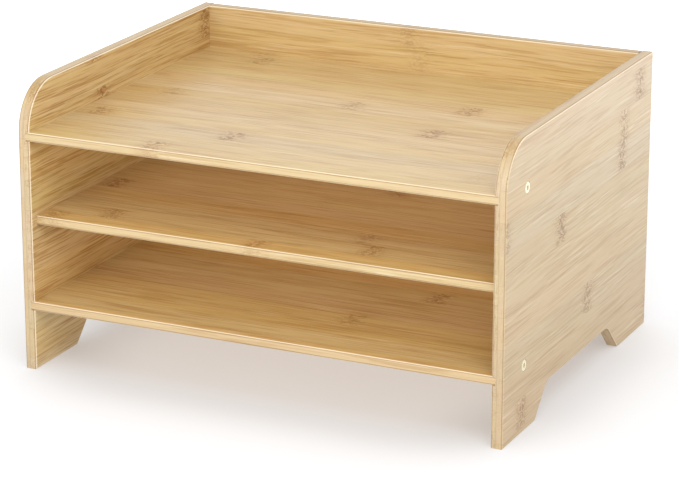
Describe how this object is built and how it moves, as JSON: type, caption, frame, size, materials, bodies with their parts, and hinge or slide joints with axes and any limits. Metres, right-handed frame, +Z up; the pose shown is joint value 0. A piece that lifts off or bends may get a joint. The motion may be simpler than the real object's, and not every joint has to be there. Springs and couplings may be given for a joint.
{
  "type": "letter tray",
  "caption": "Bamboo letter tray with two open compartments and a rimmed top tray between side panels that stand on short feet.",
  "frame": {"origin": "on the desk, below the middle of the tray", "axes": "+X across the tray to its right as seen from the open front, +Y from the open front to the back panel, +Z up"},
  "size_m": [0.335, 0.255, 0.19],
  "materials": {
    "side_panel": "satin clear varnish on two-ply pressed bamboo, grain from front to back",
    "back_panel": "satin clear varnish on pressed bamboo, grain across the tray",
    "shelf": "satin clear varnish on pressed bamboo, grain across the tray",
    "screw": "pale nickel plating, satin, with a plain hex socket",
    "dowel": "bare turned wood"
  },
  "bodies": {
    "root": {"left_side_panel": "side_panel", "right_side_panel": "side_panel", "back_panel": "back_panel", "top_shelf": "shelf", "middle_shelf": "shelf", "bottom_shelf": "shelf", "left_side_screws": "screw", "right_side_screws": "screw", "back_screws": "screw", "left_back_dowels": "dowel", "right_back_dowels": "dowel"}
  },
  "joints": []
}
